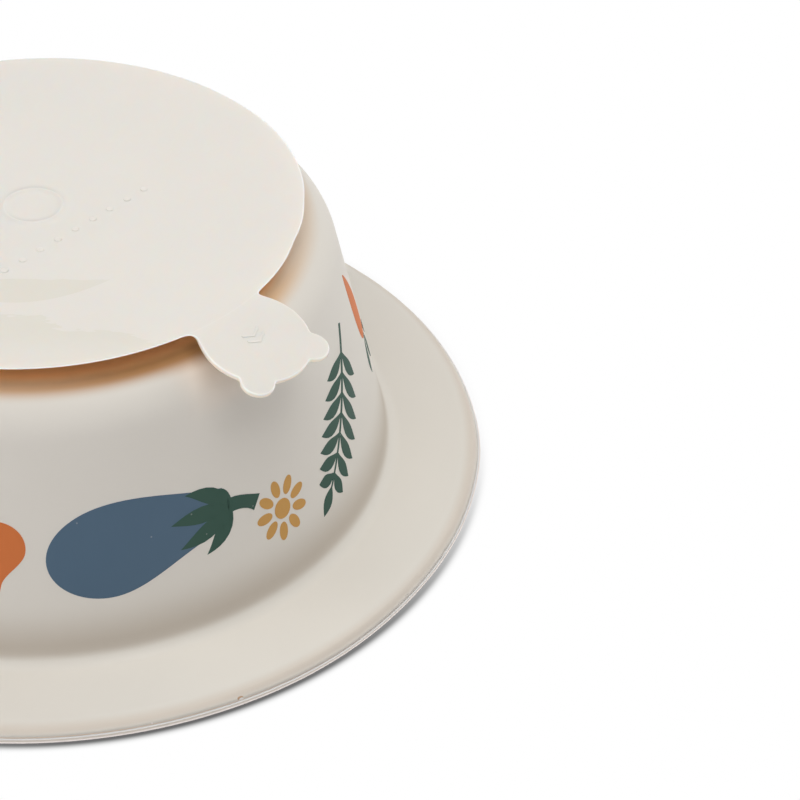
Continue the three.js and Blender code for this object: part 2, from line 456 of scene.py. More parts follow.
def specks_group():
    """A mask of sparse small dots, such as dust or pinholes."""
    def build(tree, given):
        place = tree.add("ShaderNodeTexCoord").outputs["Object"]
        cells = tree.add("ShaderNodeTexVoronoi", Vector=place, Scale=given["Cells per metre"])
        near = tree.math("LESS_THAN", cells.outputs["Distance"], given["Size"])
        red = tree.add("ShaderNodeSeparateColor", Color=cells.outputs["Color"]).outputs[0]
        return [tree.times(near, tree.math("GREATER_THAN", red, given["Rarity"]))]
    return group("Specks", {"Cells per metre": 160.0, "Size": 0.03, "Rarity": 0.6}, ("Mask",), build)


def place_group():
    """Where a point of the bowl lies: its radius, height and azimuth's cosine, and its place."""
    def build(tree, given):
        place = tree.add("ShaderNodeTexCoord").outputs["Object"]
        x, y, z = tree.add("ShaderNodeSeparateXYZ", Vector=place).outputs
        radius = tree.math("SQRT", tree.math("ADD", tree.times(x, x), tree.times(y, y)))
        return radius, z, tree.math("DIVIDE", x, radius), x, y
    return group("Place on the bowl", {}, ("Radius", "Height", "Rightwards", "X", "Y"), build)


def painted_shade_under_disc_group():
    """Masks for the base near the disc's edge: its painted shade and painted glow, and where the shade's
    colours lie.
    """
    def build(tree, given):
        place = tree.use(place_group())
        rightwards = place["Rightwards"]
        beyond = tree.math("SUBTRACT", place["Radius"], given["Disc radius"])
        below = tree.math("SUBTRACT", given["Base height"], place["Height"])

        # The painted shade reaches further on the right, and fades where the disc's edge has sprung up
        wider = tree.remap(rightwards, 0.45, 0.65, 1.0, 1.3)
        shade = tree.fall(tree.math("DIVIDE", beyond, wider), -0.1 * MM, 2.6 * MM)
        shade = tree.math("POWER", shade, 1.3)
        outside = tree.fall(below, 1.8 * MM, 2.8 * MM)
        lifted = tree.remap(rightwards, 0.88, 1.04, 1.0, 0.3)
        return (tree.times(shade, outside, lifted), tree.fall(beyond, -3 * MM, -0.7 * MM),
                tree.rise(rightwards, 0.0, 0.5), tree.rise(rightwards, 0.62, 0.84))
    return group("Under the disc", {"Disc radius": disc_radius, "Base height": base_height},
                 ("Shade", "Glow", "Deep", "Light"), build)


def painted_reflection_patches(tree, given):
    """Builds the mask of a few patches, ragged along one side, where a painted darker reflection dulls the
    disc's shine.
    """
    place = tree.use(place_group())
    x, y = place["X"], place["Y"]
    stretched = tree.add("ShaderNodeCombineXYZ", X=tree.times(x, 0.25), Y=y)
    noise = tree.add("ShaderNodeTexNoise", Vector=stretched.outputs[0], Scale=1300.0, Detail=3.0)
    shift = tree.times(tree.math("SUBTRACT", noise.outputs[0], 0.5), given["Raggedness"])
    ragged = tree.math("ADD", y, shift)

    # A lens with a straight upper side
    from_middle = tree.math("ADD", x, 1 * MM)
    bow = tree.times(from_middle, from_middle, 26.7)
    above = tree.math("SUBTRACT", y, tree.math("ADD", bow, -29.4 * MM))
    under = tree.math("SUBTRACT", -22.1 * MM, tree.math("ADD", y, tree.times(shift, 0.3)))
    lens = tree.times(tree.rise(above, 0.0, 0.25 * MM), tree.rise(under, 0.0, 0.25 * MM))

    # All that lies in front of a stepped, ragged line
    first_step = tree.remap(tree.math("ADD", x, shift), 4 * MM, 9 * MM, -32.8 * MM, -37.2 * MM)
    second_step = tree.remap(x, 17 * MM, 24 * MM, 0.0, -2.7 * MM)
    line = tree.math("ADD", first_step, second_step)
    front = tree.times(tree.rise(tree.math("SUBTRACT", line, ragged), -0.1 * MM, 0.4 * MM),
                       tree.remap(y, -45 * MM, -36 * MM, 0.35, 1.0))
    return [tree.math("MAXIMUM", lens, front)]


def surface(name, base, roughness, grain_bump, specks, strength, speck_colour,
            depth=0.0, glow=(1, 1, 1)):
    """A soft rubbery surface with grain, mottle and specks. Returns it, its tree and its colour."""
    material = bpy.data.materials.new(name)
    material.use_nodes = True
    tree = Tree(material.node_tree)
    shader = material.node_tree.nodes["Principled BSDF"]
    grain = tree.use(grain_group())
    dust = tree.use(specks_group(), **specks)

    tone_low, tone_high = 0.3, 0.7
    darker = tuple(level * 0.99 for level in base)
    mottled = tree.mix(tree.rise(grain["Tone"], tone_low, tone_high), darker, base)
    coloured = tree.mix(tree.times(dust["Mask"], strength), mottled, speck_colour)
    bump = tree.add("ShaderNodeBump", Height=grain["Height"], Strength=grain_bump,
                    Distance=0.02 * MM)
    rough = tree.remap(grain["Tone"], tone_low, tone_high, roughness * 0.92, roughness * 1.08)

    tree.put(shader, "Base Color", coloured)
    tree.put(shader, "Roughness", rough)
    tree.put(shader, "Normal", bump.outputs[0])
    tree.put(shader, "IOR", SILICONE_IOR)
    if depth:
        tree.put(shader, "Subsurface Weight", 1.0)
        tree.put(shader, "Subsurface Radius", glow)
        tree.put(shader, "Subsurface Scale", depth)
    return material, tree, coloured


def band(tree, value, low, high):
    """A mask that is 1 while a value lies between two limits."""
    soft = 0.05 * MM
    return tree.times(tree.rise(value, low - soft, low + soft),
                      tree.fall(value, high - soft, high + soft))


def across_and_outwards(tree, place, azimuth):
    """Distances across an azimuth's line and out along it."""
    cosine, sine = math.cos(azimuth), math.sin(azimuth)
    x, y = place["X"], place["Y"]
    across = tree.math("SUBTRACT", tree.times(y, cosine), tree.times(x, sine))
    outwards = tree.math("ADD", tree.times(x, cosine), tree.times(y, sine))
    return across, outwards


def spot(tree, place, azimuth, height, half_width, half_height):
    """A mask of a small oval on the rim's outer edge."""
    across, outwards = across_and_outwards(tree, place, math.radians(azimuth))
    above = tree.math("SUBTRACT", place["Height"], height)
    wide = tree.math("POWER", tree.math("DIVIDE", across, half_width), 2.0)
    tall = tree.math("POWER", tree.math("DIVIDE", above, half_height), 2.0)
    return tree.times(tree.fall(tree.math("ADD", wide, tall), 0.5, 1.3),
                      tree.math("GREATER_THAN", outwards, 0.0))


def painted_tab_glow_mask(tree, place):
    """A mask of the shoulder below the tab, for the painted glow that stands in for light let through the
    tab.
    """
    across, outwards = across_and_outwards(tree, place, tab_azimuth)
    return tree.times(
        tree.fall(tree.math("ABSOLUTE", across), 8 * MM, 16 * MM),
        tree.fall(place["Radius"], disc_radius + 0.9 * MM, disc_radius + 8.9 * MM),
        tree.math("GREATER_THAN", outwards, 0.0),
        tree.rise(place["Height"], base_height - 11 * MM, base_height - 7 * MM))


def painted_foot_shade(tree, place, sizes):
    """A mask of painted shade on the outer wall's lowest part, strongest at its foot."""
    foot_radius = rim_radius - sizes.rim_width
    slope = math.tan(sizes.wall_draft)
    # The radius at which the wall's slope through a point would meet the floor
    lean = tree.math("ADD", place["Radius"], tree.times(place["Height"], slope))
    return tree.times(
        tree.rise(lean, foot_radius - 1.5 * MM, foot_radius - 0.5 * MM),
        tree.fall(place["Radius"], foot_radius - 0.9 * MM, foot_radius + 0.3 * MM),
        tree.fall(place["Height"], 3 * MM, 14.5 * MM))


def matt_silicone(look, sizes):
    """Matt cream silicone with painted light: shade and glow under the disc and the tab, shade at the
    wall's foot, along the rim's edge and in the crease, highlights along the lip, and the nick's shadow
    and highlight.
    """
    material, tree, coloured = surface(
        "Matt silicone", look.matt, look.matt_roughness, 0.5,
        {"Cells_per_metre": 110, "Size": 0.018, "Rarity": 0.7}, 0.35, display(190, 170, 150))
    place = tree.use(place_group())
    # Painted glow on the shoulder under the tab
    coloured = tree.mix(painted_tab_glow_mask(tree, place), coloured, look.painted_tab_glow)

    # The base in the disc's shade: painted shade, with a painted glow further in that stands in for light
    # let through the disc
    under = tree.use(painted_shade_under_disc_group())
    painted_warm_shade = tree.mix(under["Deep"], look.shade, look.painted_deep_shade)
    painted_warm_shade = tree.mix(under["Light"], painted_warm_shade, look.painted_light_shade)
    painted_warm_shade = tree.mix(under["Glow"], painted_warm_shade, look.glow)
    coloured = tree.mix(under["Shade"], coloured, painted_warm_shade)

    # Painted shade, darker and warmer, at the wall's foot and along the rim's rounded edge
    coloured = tree.mix(painted_foot_shade(tree, place, sizes), coloured, look.foot, "MULTIPLY")
    straight_height = tree.attribute("straight_height")
    # Painted shade along the rim's rounded edge
    edge = tree.times(tree.rise(place["Radius"], rim_radius - 3.1 * MM, rim_radius - 1.1 * MM),
                      tree.rise(straight_height, 1 * MM, 1.7 * MM))
    coloured = tree.mix(edge, coloured, look.edge, "MULTIPLY")

    # The rim's thin lip: painted shade in the crease above it, a slightly darker face, and a painted
    # highlight along each of its edges, where small real ledges catch light too
    outmost = tree.rise(place["Radius"], rim_radius - 1.4 * MM, rim_radius - 1 * MM)
    for low, high, tint, blend in ((0.7, 0.97, look.crease, "MIX"),
                                   (-0.1, 0.6, look.lip_face, "MULTIPLY"),
                                   (0.58, 0.72, look.lip, "MIX"), (-0.1, 0.2, look.bead, "MIX")):
        line = tree.times(band(tree, straight_height, low * MM, high * MM), outmost)
        coloured = tree.mix(line, coloured, tint, blend)

    # Where the mould has left a nick and a dot above the lip. The nick is painted only: a painted shadow
    # on its upper wall and a painted highlight below it.
    for azimuth, height, half_width, half_height, tint in (
            (-60.8, 1.12, 0.58, 0.24, look.nick), (-60.7, 0.93, 0.46, 0.2, look.rounding),
            (-72.3, 1.04, 0.16, 0.18, look.bead)):
        mark = spot(tree, place, azimuth, height * MM, half_width * MM, half_height * MM)
        coloured = tree.mix(mark, coloured, tint)
    tree.put(material.node_tree.nodes["Principled BSDF"], "Base Color", coloured)
    return material


def polished_silicone(look):
    """Smooth cream silicone that lets light through, with a painted highlight along its edges and on the
    fold, painted light on the edges' sides and a painted darker reflection in patches.
    """
    material, tree, coloured = surface(
        "Polished silicone", look.polished, look.polished_roughness, 0.08,
        {"Cells_per_metre": 130, "Size": 0.02, "Rarity": 0.7}, 0.4, display(200, 180, 160),
        look.depth, (1.0, 0.75, 0.6))
    # Patches of painted darker reflection on the disc
    patches = tree.use(group("Dull patches", {"Raggedness": 3.5 * MM}, ("Mask",), painted_reflection_patches))
    beyond = tree.math("SUBTRACT", tree.use(place_group())["Radius"], disc_radius)
    painted_reflection = tree.times(patches["Mask"], tree.fall(beyond, -0.3 * MM, 0.1 * MM))
    coloured = tree.mix(painted_reflection, coloured, look.dull, "MULTIPLY")
    # A faint painted highlight along the line where the tab leaves the disc
    faint = 0.2
    painted_fold_highlight = tree.times(band(tree, beyond, -0.1 * MM, 0.1 * MM), faint)
    coloured = tree.mix(painted_fold_highlight, coloured, look.rounding)
    # Painted highlight on the rounded edge and painted light on the side below it
    coloured = tree.mix(tree.attribute("rounding"), coloured, look.rounding)
    coloured = tree.mix(tree.attribute("side"), coloured, look.side)
    tree.put(material.node_tree.nodes["Principled BSDF"], "Base Color", coloured)
    return material


def ink(name, base, look):
    """Matt ink with a few pale pinholes."""
    holes = {"Cells_per_metre": 420, "Size": 0.07, "Rarity": 0.55}
    return surface(name, base, look.roughness, 0.6, holes, 0.25, display(190, 190, 185))[0]


# The bowl

def wall_radius(sizes, height):
    """Outer radius of the leaning wall at a height."""
    return rim_radius - sizes.rim_width - (height - sizes.rim_thickness) * math.tan(sizes.wall_draft)


def bowl_profile(sizes):
    """Corners from the middle of the base outwards, down and back inside to the middle."""
    inside = sizes.wall_thickness / math.cos(sizes.wall_draft)
    ceiling = base_height - sizes.floor_thickness
    lip_foot = rim_radius - sizes.lip_proud
    fine = 0.2 * sizes.lip_proud
    lip_face = rim_radius - fine
    crease = lip_foot - fine
    bead = rim_radius + 0.5 * sizes.lip_proud
    slope_height = sizes.rim_thickness - sizes.rim_slope_drop
    return [
        (0, base_height, 0, 0),
        (wall_radius(sizes, base_height), base_height, sizes.shoulder_round, 14),
        (rim_radius - sizes.rim_width, sizes.rim_thickness, sizes.foot_round, 8),
        (rim_radius - sizes.rim_slope_width, sizes.rim_thickness, 6 * MM, 6),
        (lip_foot - 2.3 * sizes.lip_proud, slope_height, sizes.rim_round, 8),
        (lip_foot, sizes.lip_height + 6.5 * fine, 0, 0),
        (crease, sizes.lip_height + 5.5 * fine, fine / 2, 2),
        (crease, sizes.lip_height + fine, fine / 2, 2),
        (lip_face, sizes.lip_height, fine / 2, 2),
        (lip_face, 0.3 * sizes.lip_height, 0, 0),
        (bead, 0.25 * sizes.lip_height, fine / 2, 2),
        (bead, 0, sizes.lip_round / 3, 3),
        (wall_radius(sizes, 0) - inside, 0, sizes.mouth_round, 8),
        (wall_radius(sizes, ceiling) - inside, ceiling, sizes.shoulder_round - sizes.wall_thickness, 10),
        (0, ceiling, 0, 0),
    ]


def bend_rim(bm):
    """Lets the rim's edge stray a little from its circle, and thins its lip on the left and right.

    The heights from before this are kept for the material, which draws its lines along the lip by them."""
    straight_height = bm.verts.layers.float.new("straight_height")
    thinned_by = 0.45
    for vert in bm.verts:
        vert[straight_height] = vert.co.z
        radius = max(math.hypot(vert.co.x, vert.co.y), MM)
        outer = smoothstep(radius, rim_radius - 8 * MM, rim_radius - 1 * MM)
        at_lip = 1 - smoothstep(vert.co.z, 1 * MM, 2 * MM)
        sideways = smoothstep(abs(vert.co.x) / radius, 0.37, 0.81)
        vert.co.z *= 1 - thinned_by * sideways * at_lip * outer
        azimuth = math.degrees(math.atan2(vert.co.y, vert.co.x))
        wider = 1 + outer * stray(RIM_WAVES, azimuth) / radius
        vert.co.x *= wider
        vert.co.y *= wider


class BOWL_OT_shell(bpy.types.Operator):
    """Make the bowl's shell: base, wall, rim and inside"""
    bl_idname = "bowl.shell"
    bl_label = "Shell"

    def execute(self, context):
        sizes = context.scene.bowl_sizes
        bm = spun_solid(bowl_profile(sizes), 2.5 * MM, sizes.turn_steps)
        bend_rim(bm)
        shell = to_object(bm, "bowl_shell", matt_silicone(context.scene.bowl_silicone, sizes))
        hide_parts("bowl")
        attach(shell, "bowl_body")
        return {"FINISHED"}


class BOWL_OT_neck(bpy.types.Operator):
    """Make the short neck between the base and the disc"""
    bl_idname = "bowl.neck"
    bl_label = "Neck"

    def execute(self, context):
        seat = 0.3 * MM
        flare = 1 * MM
        waist = neck_high.x - flare
        profile = [
            (0, neck_high.z + seat, 0, 0),
            (neck_high.x, neck_high.z + seat, 0, 0),
            (neck_high.x, neck_high.z - 0.1 * MM, 0, 0),
            (waist, neck_high.z - flare, 0.6 * MM, 4),
            (waist, neck_low.z + flare, 0.6 * MM, 4),
            (neck_high.x, neck_low.z + 0.1 * MM, 0, 0),
            (neck_high.x, neck_low.z - seat, 0, 0),
            (0, neck_low.z - seat, 0, 0),
        ]
        bm = spun_solid(profile, 2 * MM, 96)
        neck = to_object(bm, "suction_neck_soft", bpy.data.materials["Matt silicone"])
        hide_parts("suction_neck")
        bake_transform(neck)
        return {"FINISHED"}


# The disc and its tab, made flat with the tab towards +X and then bent into place

def hollow_centre(first, first_radius, second, second_radius, radius, side):
    """Centre of a small circle that touches the outside of two larger ones."""
    between = second - first
    distance = between.length
    reach = first_radius + radius
    other = second_radius + radius
    along = (distance ** 2 + reach ** 2 - other ** 2) / (2 * distance)
    across = side * math.sqrt(reach ** 2 - along ** 2)
    unit = between.normalized()
    return first + unit * along + Vector((-unit.y, unit.x)) * across


def arc_between(centre, radius, start, end, clockwise, steps):
    """Points round a centre from one point's direction to another's."""
    first = math.atan2(start.y - centre.y, start.x - centre.x)
    last = math.atan2(end.y - centre.y, end.x - centre.x)
    if clockwise and last > first:
        last -= FULL_TURN
    if not clockwise and last < first:
        last += FULL_TURN
    return arc(centre, radius, first, last, steps)


def half_outline(sizes, root_half_width):
    """The free outline of the tab's +Y half, from its root to the middle of its end."""
    plate = Vector((hinge_radius + sizes.plate_reach, 0))
    lobe = Vector((hinge_radius + sizes.lobe_reach, sizes.lobe_spread))
    root = Vector((hinge_radius, root_half_width))
    far_end = Vector((plate.x + sizes.plate_radius, 0))

    # The flank runs straight until it touches the plate's circle
    away = root - plate
    turn = math.acos(sizes.plate_radius / away.length)
    heading = math.atan2(away.y, away.x) - turn
    flank_end = plate + sizes.plate_radius * Vector((math.cos(heading), math.sin(heading)))

    hollows = [
        hollow_centre(plate, sizes.plate_radius, lobe, sizes.lobe_radius, sizes.hollow_round, side)
        for side in (1, -1)
    ]
    outer, inner = hollows
    flank = [root.lerp(flank_end, step / 4) for step in range(1, 5)]
    arcs = [
        arc_between(plate, sizes.plate_radius, flank_end, outer, True, 14),
        arc_between(outer, sizes.hollow_round, plate, lobe, False, 6),
        arc_between(lobe, sizes.lobe_radius, outer, inner, True, 22),
        arc_between(inner, sizes.hollow_round, lobe, plate, False, 6),
        arc_between(plate, sizes.plate_radius, inner, far_end, True, 8),
    ]
    return flank + [point for part in arcs for point in part[1:]]


def tab_sheet(sizes, root_step):
    """The tab as a flat sheet whose root follows the disc's edge, with a narrow border strip."""
    bm = bmesh.new()
    left, right = sizes.root_steps, sizes.right_root_steps
    root = arc((0, 0), disc_radius, -left * root_step, right * root_step, left + right)
    right_half = half_outline(sizes, root[-1].y)
    left_half = [Vector((point.x, -point.y)) for point in half_outline(sizes, -root[0].y)]
    corners = root + right_half + left_half[-2::-1]
    outline = [bm.verts.new((*point, 0)) for point in corners]
    sheet = bm.faces.new(outline[::-1])
    bm.normal_update()
    for width in (sizes.edge_round * 1.3, sizes.edge_round):
        bmesh.ops.inset_region(bm, faces=[sheet], thickness=width, use_even_offset=True,
                               use_boundary=True)

    # Rows where the tab bends
    row = 0.3 * MM
    cut_rows(bm, [disc_radius + (step + 0.6) * row for step in range(6)], 0.01 * MM)

    # Edges much shorter than the edge rounding would spoil it
    bmesh.ops.remove_doubles(bm, verts=bm.verts[:], dist=0.12 * MM)
    return bm


def disc_sheet(sizes, steps):
    """The disc as a flat sheet in rings, with the raised ring in its middle."""
    ring_in = sizes.ring_radius - sizes.ring_width / 2
    ring_out = sizes.ring_radius + sizes.ring_width / 2
    slope = sizes.relief_height
    high = sizes.relief_height
    corners = [
        (0, 0, 0),
        (ring_in - slope, 0, 0),
        (ring_in, 0, high),
        (ring_out, 0, high),
        (ring_out + slope, 0, 0),
        (disc_radius - 3 * sizes.edge_round, 0, 0),
        (disc_radius - 1.4 * sizes.edge_round, 0, 0),
        (disc_radius, 0, 0),
    ]
    bm, _ = wire(corners)
    split_long_edges(bm, 1.6 * MM)
    spin_round(bm, steps)
    return bm


def soften_notch(bm, corner, reach, passes):
    """Rounds the inner corner where the tab's flank leaves the disc's edge."""
    border = [vert for vert in bm.verts
              if vert.is_boundary and (vert.co - corner).length < reach]
    for _ in range(passes):
        moved = {}
        for vert in border:
            beside = [edge.other_vert(vert).co for edge in vert.link_edges if edge.is_boundary]
            moved[vert] = vert.co.lerp((beside[0] + beside[1]) / 2, 0.5)
        for vert, place in moved.items():
            vert.co = place


def mark_edge(bm, sizes):
    """Marks the rounding under the outer face and the side below it, where the material paints a highlight
    and paints light.
    """
    rounding = bm.verts.layers.float.new("rounding")
    side = bm.verts.layers.float.new("side")
    for vert in bm.verts:
        depth = -vert.co.z
        vert[rounding] = float(MERGE_GAP < depth < sizes.edge_round * 0.9)
        vert[side] = float(sizes.edge_round * 0.9 < depth < sizes.thickness - MERGE_GAP)


def thin_edge(bm, sizes):
    """Thins the disc towards its free edge, while the tab and its root stay thick."""
    half = sizes.root_half_width
    for vert in bm.verts:
        radius = math.hypot(vert.co.x, vert.co.y)
        outer = smoothstep(radius, disc_radius - sizes.thin_width, disc_radius)
        along_tab = smoothstep(radius, disc_radius, disc_radius + 3 * MM)
        at_root = 1 - smoothstep(abs(vert.co.y), half - 2.5 * MM, half) if vert.co.x > 0 else 0
        thick = max(along_tab, at_root)
        vert.co.z *= 1 - (1 - sizes.thin_share) * outer * (1 - thick)


# The azimuths in degrees where the disc's edge starts to lift, is fully up, starts to fall and lies flat
SPRUNG = (-27, -8, 3, 22)


def disc_height(sizes, x, y):
    """How far the disc's outer face lies above or below its land, the tab being towards +X."""
    radius = math.hypot(x, y)
    land = disc_radius - sizes.land_width
    height = -sizes.dish * (1 - smoothstep(radius, 0.4 * land, land))

    azimuth = math.degrees(math.atan2(y, x) + tab_azimuth)
    sprung = smoothstep(azimuth, *SPRUNG[:2]) * (1 - smoothstep(azimuth, *SPRUNG[2:]))
    outer = smoothstep(radius, 0.72 * disc_radius, 1.04 * disc_radius)
    height += sizes.lift * sprung * outer

    wave = math.sin(x / (7.5 * MM) + 0.8) * math.cos(y / (9.5 * MM) - 0.4)
    calm = 1 - smoothstep(radius, 0.8 * disc_radius, 0.97 * disc_radius)
    return height + sizes.ripple * wave * calm


def disc_stray(x, y):
    """How far the disc's edge strays outwards at a place, the tab being towards +X."""
    azimuth = math.degrees(math.atan2(y, x) + tab_azimuth)
    return stray(DISC_WAVES, azimuth) * smoothstep(math.hypot(x, y), 0.85 * disc_radius, disc_radius)


def bend_tab(sizes, x, z):
    """Takes a point past the hinge line round a gentle bend, and on along the drooping tab."""
    reach = 1.6 * MM
    past = x - (hinge_radius - reach)
    if past <= 0:
        return x, z
    length_of_bend = 2 * reach
    radius = length_of_bend / sizes.tab_droop
    middle = z + sizes.thickness / 2
    turned = min(past, length_of_bend) / radius
    straight = max(past - length_of_bend, 0)
    line_x = hinge_radius - reach + radius * math.sin(turned) + straight * math.cos(turned)
    line_z = -radius * (1 - math.cos(turned)) - straight * math.sin(turned)
    return (line_x + middle * math.sin(turned),
            line_z + middle * math.cos(turned) - sizes.thickness / 2)


def shape_disc(bm, sizes):
    """Dishes the disc, springs its edge, bends the tab and turns it all to its azimuth."""
    turn = Matrix.Rotation(tab_azimuth, 3, "Z")
    on_tab = sizes.root_half_width * 1.6
    for vert in bm.verts:
        x, y, z = vert.co
        z += disc_height(sizes, x, y)
        if x > 0 and abs(y) < on_tab:
            x, z = bend_tab(sizes, x, z)
        else:
            wider = 1 + disc_stray(x, y) / max(math.hypot(x, y), MM)
            x, y = x * wider, y * wider
        vert.co = turn @ Vector((x, y, z + disc_top))


class BOWL_OT_disc(bpy.types.Operator):
    """Make the suction disc and its pull tab, which are one moulding"""
    bl_idname = "bowl.disc"
    bl_label = "Disc and tab"

    def execute(self, context):
        sizes = context.scene.disc_sizes
        half_root = math.asin(sizes.root_half_width / disc_radius)
        turn_steps = round(FULL_TURN / half_root * sizes.root_steps)
        root_step = FULL_TURN / turn_steps

        bm = disc_sheet(sizes, turn_steps)
        take_in(bm, tab_sheet(sizes, root_step))
        bmesh.ops.remove_doubles(bm, verts=bm.verts[:], dist=0.01 * MM)

        # The left notch is the rounder one
        for steps, passes in ((sizes.right_root_steps, 3), (-sizes.root_steps, 7)):
            around = steps * root_step
            corner = Vector((math.cos(around), math.sin(around), 0)) * disc_radius
            soften_notch(bm, corner, 1.5 * MM, passes)

        bm.normal_update()
        face_up(bm)
        bmesh.ops.solidify(bm, geom=bm.faces[:], thickness=sizes.thickness)
        rims = [edge for edge in bm.edges if edge.calc_face_angle(0) > 1]
        round_edges(bm, rims, sizes.edge_round, 4)
        mark_edge(bm, sizes)
        thin_edge(bm, sizes)
        shape_disc(bm, sizes)
        disc = to_object(bm, "suction_disc_and_tab", polished_silicone(context.scene.bowl_silicone))
        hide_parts("suction_disc", "pull_tab")
        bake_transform(disc)
        return {"FINISHED"}


# Raised marks on the disc and the tab

def disc_point(sizes, x, y):
    """A point on the disc's outer face, the tab being towards +X before the turn."""
    turn = Matrix.Rotation(tab_azimuth, 3, "Z")
    return turn @ Vector((x, y, disc_top + disc_height(sizes, x, y)))


class BOWL_OT_marks(bpy.types.Operator):
    """Make the row of raised pips on the disc and the chevron on the tab"""
    bl_idname = "bowl.marks"
    bl_label = "Raised marks"

    def execute(self, context):
        sizes = context.scene.disc_sizes
        look = context.scene.bowl_silicone
        material = surface("Raised marks", look.mark, look.mark_roughness, 0.08,
                           {"Size": 0.0}, 0.0, look.mark)[0]
        pip_radius = 0.75 * MM
        depth = 0.5 * MM
        row_reach = 10.8 * MM
        spacing = 4.2 * MM

        bm = bmesh.new()
        for step in range(-4, 5):
            place = disc_point(sizes, row_reach, step * spacing)
            place.z += sizes.relief_height - depth / 2
            made = bmesh.ops.create_cone(
                bm, cap_ends=True, segments=28, radius1=pip_radius,
                radius2=pip_radius - 0.12 * MM, depth=depth, matrix=Matrix.Translation(place))
            top = max(vert.co.z for vert in made["verts"])
            edges = {edge for vert in made["verts"] for edge in vert.link_edges
                     if all(abs(end.co.z - top) < MERGE_GAP for end in edge.verts)}
            round_edges(bm, list(edges), 0.06 * MM, 2)
        pips = to_object(bm, "disc_pips", material)
        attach(pips, "disc_body")

        chevrons = to_object(self.chevron_mesh(sizes), "tab_chevrons", material)
        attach(chevrons, "tab_body")
        return {"FINISHED"}

    def chevron_mesh(self, sizes):
        """Two thin raised chevrons that point along the pull."""
        bm = bmesh.new()
        half_span = 1.9 * MM
        rise = 1.1 * MM
        width = 0.42 * MM
        first = 6.6 * MM
        gap = 1.5 * MM
        height = 0.4 * MM
        for number in range(2):
            tip = hinge_radius + first + number * gap
            line = [Vector((tip - rise, -half_span, 0)), Vector((tip, 0, 0)),
                    Vector((tip - rise, half_span, 0))]
            back = Vector((width, 0, 0))
            corners = [bm.verts.new(point) for point in line]
            corners += [bm.verts.new(point - back) for point in reversed(line)]
            bm.faces.new(corners)
        face_up(bm)
        bmesh.ops.translate(bm, verts=bm.verts[:], vec=(0, 0, sizes.relief_height))
        bmesh.ops.solidify(bm, geom=bm.faces[:], thickness=height)
        rims = [edge for edge in bm.edges if edge.calc_face_angle(0) > 0.5
                and all(end.co.z > 0 for end in edge.verts)]
        round_edges(bm, rims, 0.07 * MM, 2)
        shape_disc(bm, sizes)
        return bm


# Printed pictures, drawn flat in millimetres, standing upright with +Y towards the bowl's rim

def oval(x, y, half_width, half_height, turn=0.0, steps=28):
    """Points of an oval."""
    cosine, sine = math.cos(turn), math.sin(turn)
    points = []
    for step in range(steps):
        around = FULL_TURN * step / steps
        across, along = half_width * math.cos(around), half_height * math.sin(around)
        points.append(Vector((x + across * cosine - along * sine, y + across * sine + along * cosine)))
    return points


def ribbon(middle, half_width, steps):
    """The outline round a curved middle line, pointed or blunt at its ends."""
    left, right = [], []
    for step in range(steps + 1):
        part = (1 - math.cos(math.pi * step / steps)) / 2
        ahead = (middle(part + 0.01) - middle(part - 0.01)).normalized()
        side = Vector((-ahead.y, ahead.x)) * half_width(part)
        left.append(middle(part) + side)
        if side.length > 0.001:
            right.append(middle(part) - side)
    return left + right[::-1]


def blade(start, end, width, fullest=0.4, bend=0.0, steps=12):
    """A pointed leaf from start to end, widest at a share of its length, bent to one side."""
    start, end = Vector(start), Vector(end)
    along = end - start
    aside = Vector((-along.y, along.x))
    swell = math.log(0.5) / math.log(fullest)

    def middle(part):
        return start + along * part + aside * bend * 4 * part * (1 - part)

    def half(part):
        return width / 2 * math.sin(math.pi * min(max(part, 0), 1) ** swell)
    return ribbon(middle, half, steps)


def aubergine():
    """A slate-blue aubergine that lies on its side, with a deep green cap."""
    def middle(part):
        return Vector((-15 + 32 * part, 3.2 - 9 * part + 7.5 * part * part))

    def half(part):
        if part < 0.64:
            return 3.6 + 5.1 * smoothstep(part, -0.1, 0.64)
        return 8.7 * math.sqrt(max(1 - ((part - 0.64) / 0.36) ** 2, 0))

    cap = [blade((-16.6, 3.6), (x, y), width, 0.46, bend) for x, y, width, bend in (
        (-9.6, 9.6, 3.0, 0.1), (-5.4, 6.0, 3.2, 0.05), (-5.2, 0.9, 3.2, -0.03), (-9.2, -3.2, 3.0, -0.1))]
    stalk = ribbon(lambda part: Vector((-15.2 - 6.4 * part, 3.4 + 3.2 * part * part)),
                   lambda part: 1.5 - 0.5 * part + 0.5 * part ** 6, 10)
    collar = oval(-14.6, 3.2, 2.4, 4.0, -0.2)
    return {"blue": [ribbon(middle, half, 44)], "green": [*cap, collar, stalk]}


def daisy():
    """A mustard flower with round petals."""
    petals = []
    for number in range(9):
        around = FULL_TURN * number / 9
        out = Vector((math.cos(around), math.sin(around)))
        middle = out * 4.3
        petals.append(oval(middle.x, middle.y, 1.75, 0.98, around, 20))
    return {"mustard": [*petals, oval(0, 0, 1.9, 1.9)]}


def fern():
    """A deep green fern frond with a gently curved stem."""
    def stem(part):
        return Vector((5.5 * part * part - 2, -15 + 30 * part))

    leaves = []
    for number in range(7):
        part = 0.16 + 0.118 * number
        ahead = (stem(part + 0.01) - stem(part - 0.01)).normalized()
        aside = Vector((-ahead.y, ahead.x))
        size = 8.2 * math.sin(math.pi * (0.3 + 0.58 * part)) + 0.4
        for side in (1, -1):
            lean = (ahead * 0.75 + side * aside).normalized()
            leaves.append(blade(stem(part), stem(part) + lean * size, 2.5, 0.56, -0.08 * side))
    leaves.append(blade(stem(0.95), stem(1.13), 2.5, 0.5))
    return {"green": [ribbon(stem, lambda part: 0.5 - 0.3 * part, 14), *leaves]}


